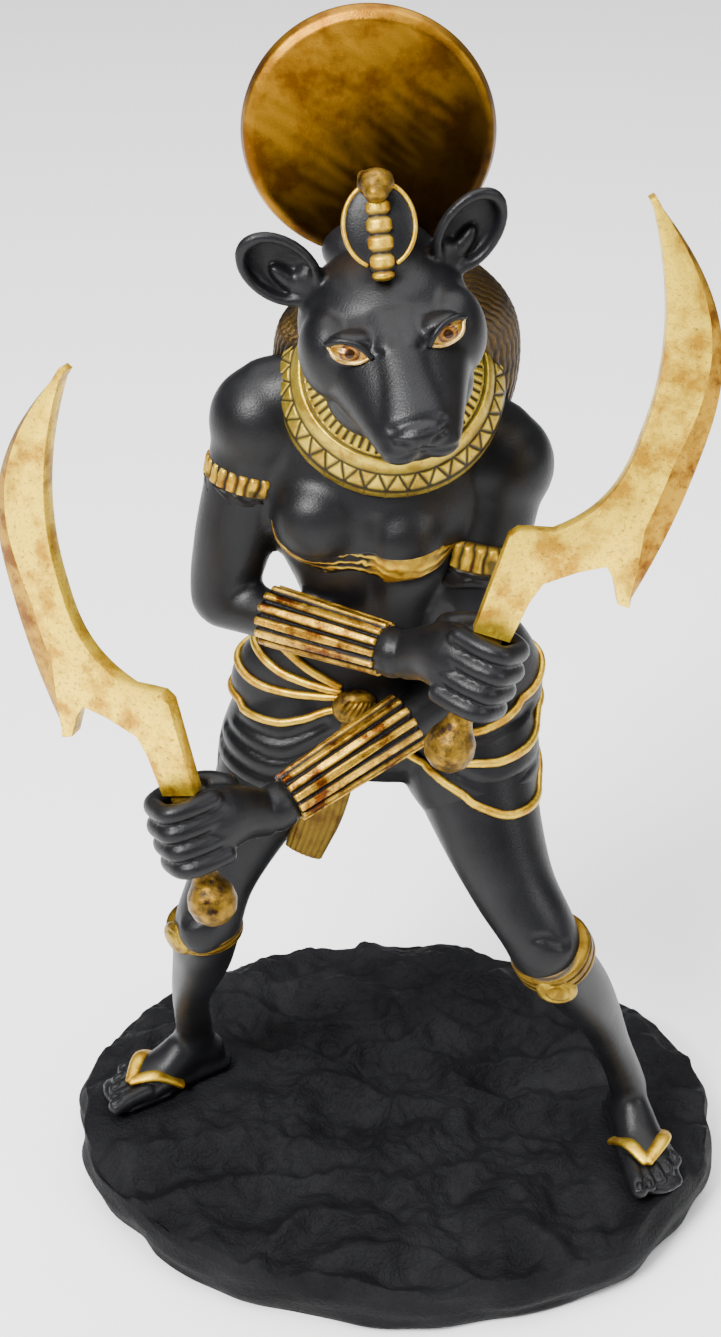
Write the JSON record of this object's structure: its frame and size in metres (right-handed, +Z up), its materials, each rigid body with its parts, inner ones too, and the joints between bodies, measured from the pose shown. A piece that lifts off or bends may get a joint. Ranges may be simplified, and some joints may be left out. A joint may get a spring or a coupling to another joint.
{
  "type": "sekhmet figurine",
  "caption": "Painted cast figurine of a lioness-headed warrior goddess with a sun disc, standing astride on an oval rock and holding a sickle sword in each fist.",
  "frame": {"origin": "middle of the rock's flat underside, under the figure", "axes": "+Z up, along the figure's height; the figure faces -Y, so her right side is towards -X"},
  "size_m": [0.1182, 0.0977, 0.2125],
  "materials": {
    "black_paint": "satin black paint with rubbed gold paint on the ornaments",
    "rock_paint": "matt black paint over rough rock texture",
    "gold_paint": "rubbed metallic gold paint with dark wear"
  },
  "bodies": {
    "root": {"figure": "black_paint", "rock_base": "rock_paint", "khopesh_right": "gold_paint", "khopesh_left": "gold_paint"}
  },
  "joints": []
}
